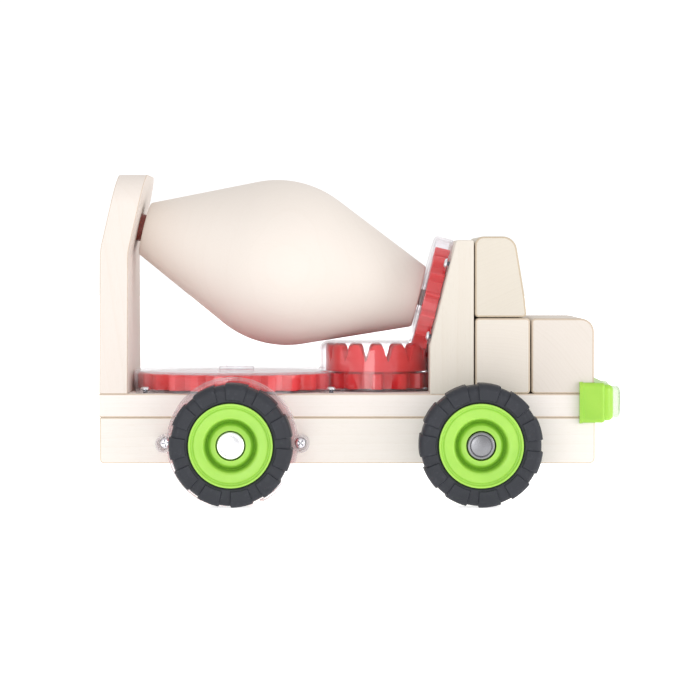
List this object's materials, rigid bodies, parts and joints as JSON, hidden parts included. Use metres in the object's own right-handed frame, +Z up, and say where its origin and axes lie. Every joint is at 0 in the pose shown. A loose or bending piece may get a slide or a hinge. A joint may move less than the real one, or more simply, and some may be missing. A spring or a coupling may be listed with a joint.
{
  "type": "toy cement mixer",
  "caption": "Wooden toy cement mixer truck: rolling turns gears under clear covers, which turn the tilted drum between the rear post and the block-built cab.",
  "frame": {"origin": "on the floor under the middle of the truck's outline", "axes": "+X to the front of the truck, along its length; +Y to its left; +Z up"},
  "size_m": [0.382, 0.2266, 0.24],
  "materials": {
    "pale_wood": "sanded, clear matt",
    "block_wood": "sanded, clear matt, end grain outwards",
    "dowel_wood": "plain",
    "red_plastic": "moulded",
    "dark_red_plastic": "moulded",
    "green_plastic": "moulded, satin",
    "grey_plastic": "moulded",
    "clear_plastic": "clear moulded plastic",
    "tyre_rubber": "moulded",
    "chrome": "polished",
    "steel": "zinc plated"
  },
  "bodies": {
    "chassis": {"deck_board": "pale_wood", "chassis_beam": "pale_wood", "rear_post": "pale_wood", "post_dowels": "dowel_wood", "cab_rear_wall": "pale_wood", "cab_upper_block": "block_wood", "cab_lower_block": "block_wood", "hood_block": "block_wood", "cab_dowels": "dowel_wood", "bumper": "green_plastic", "headlight_lenses": "clear_plastic", "gear_base_plate": "clear_plastic", "main_gear_pin": "steel", "transfer_gear_pin": "steel", "gearbox_cover": "clear_plastic", "gearbox_cover_screws": "steel", "drum_gear_cover": "clear_plastic", "drum_gear_cover_screws": "steel", "side_cover": "clear_plastic", "side_cover_screws": "steel", "drum_rear_pin": "dark_red_plastic", "drum_front_pin": "steel", "axle_bushes": "grey_plastic"},
    "drum": {"drum": "pale_wood", "drum_gear": "red_plastic"},
    "transfer_gear": {"transfer_gear": "red_plastic"},
    "main_gear": {"main_gear": "red_plastic"},
    "rear_wheels": {"rear_axle": "steel", "rear_axle_spacer": "grey_plastic", "axle_crown_gear": "red_plastic", "tyre_rear_right": "tyre_rubber", "tyre_rear_left": "tyre_rubber", "hub_rear_right": "green_plastic", "hub_rear_left": "green_plastic", "axle_cap_rear_right": "chrome", "axle_cap_rear_left": "chrome"},
    "front_wheels": {"front_axle": "steel", "front_axle_spacers": "grey_plastic", "tyre_front_right": "tyre_rubber", "tyre_front_left": "tyre_rubber", "hub_front_right": "green_plastic", "hub_front_left": "green_plastic", "axle_cap_front_right": "chrome", "axle_cap_front_left": "chrome"}
  },
  "joints": [
    {"name": "drum_spin", "type": "hinge", "parent": "chassis", "child": "drum", "pos_m": [-0.0605, 0, 0.1756], "axis": [0.9703, 0, -0.2419], "continuous": true},
    {"name": "transfer_gear_spin", "type": "hinge", "parent": "chassis", "child": "transfer_gear", "pos_m": [0.0123, 0, 0.09], "axis": [0, 0, 1], "continuous": true},
    {"name": "main_gear_spin", "type": "hinge", "parent": "chassis", "child": "main_gear", "pos_m": [-0.093, 0, 0.087], "axis": [0, 0, 1], "continuous": true},
    {"name": "rear_axle_spin", "type": "hinge", "parent": "chassis", "child": "rear_wheels", "pos_m": [-0.093, 0, 0.0444], "axis": [0, 1, 0], "continuous": true},
    {"name": "front_axle_spin", "type": "hinge", "parent": "chassis", "child": "front_wheels", "pos_m": [0.086, 0, 0.0444], "axis": [0, 1, 0], "continuous": true}
  ],
  "couplings": [
    {"joint": "transfer_gear_spin", "follows": "drum_spin", "ratio": 1.0714},
    {"joint": "main_gear_spin", "follows": "drum_spin", "ratio": -0.53571},
    {"joint": "rear_axle_spin", "follows": "drum_spin", "ratio": -0.98901}
  ]
}
